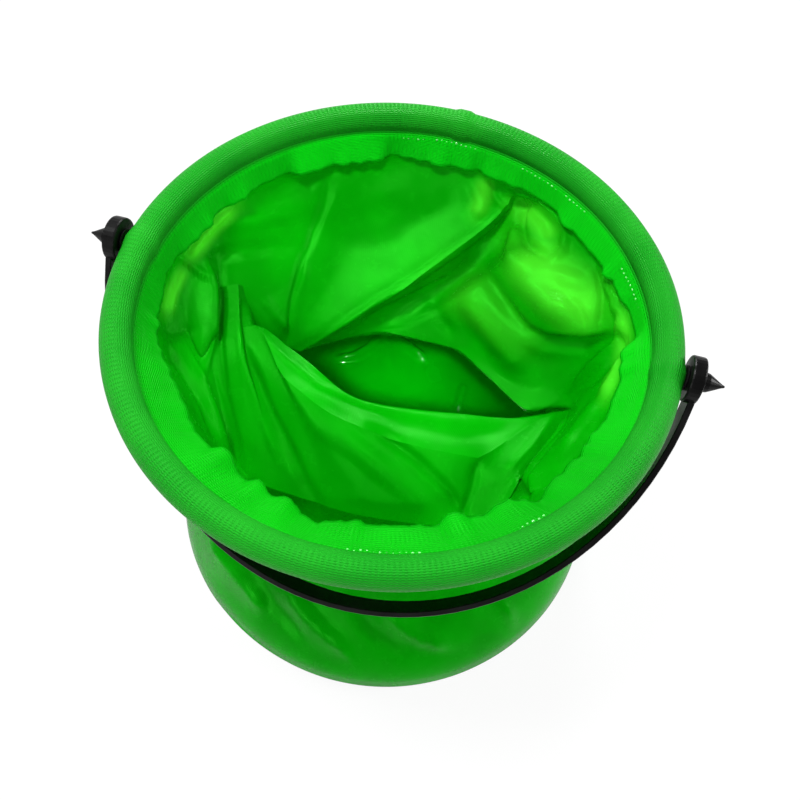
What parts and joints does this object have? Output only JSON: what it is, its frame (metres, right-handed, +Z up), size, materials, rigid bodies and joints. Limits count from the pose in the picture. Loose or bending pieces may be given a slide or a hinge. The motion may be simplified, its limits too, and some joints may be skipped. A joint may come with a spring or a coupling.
{
  "type": "collapsible bucket",
  "caption": "Round fabric bucket that folds flat: hoop in a sleeved rim, wire hoop in the base hem, twisting pinched wall, and a ribbed bail that swings on studs.",
  "frame": {"origin": "centre of the bottom panel's underside, on the surface that the bucket stands on", "axes": "+Z up; X runs through the two studs that carry the bail; +Y points to the back, away from the side where the bail hangs"},
  "size_m": [0.2956, 0.26, 0.2065],
  "materials": {
    "coated_fabric": "glossy coated",
    "sleeve_fabric": "woven, satin",
    "bottom_fabric": "glossy coated",
    "hoop_plastic": "plain extruded",
    "wire_steel": "drawn wire",
    "black_plastic": "satin moulded"
  },
  "bodies": {
    "base": {"bottom_panel": "bottom_fabric", "base_hoop": "wire_steel", "base_hem": "coated_fabric"},
    "wall": {"wall_panel": "coated_fabric"},
    "rim": {"rim_hoop": "hoop_plastic", "hoop_joiner": "hoop_plastic", "rim_sleeve": "sleeve_fabric", "stud_left": "black_plastic", "stud_right": "black_plastic"},
    "bail": {"bail": "black_plastic"}
  },
  "joints": [
    {"name": "wall_twist", "type": "hinge", "parent": "base", "child": "wall", "pos_m": [0, 0, 0], "axis": [0, 0, 1], "range_deg": [-57, 28]},
    {"name": "rim_lift", "type": "slide", "parent": "wall", "child": "rim", "axis": [0, 0, 1], "range_m": [-0.082, 0.04], "deforming": ["wall_panel"]},
    {"name": "bail_swing", "type": "hinge", "parent": "rim", "child": "bail", "pos_m": [0, 0, 0.196], "axis": [-1, 0, 0], "range_deg": [0, 270]}
  ],
  "couplings": [
    {"joint": "wall_twist", "follows": "rim_lift", "rad_per_m": 12}
  ]
}
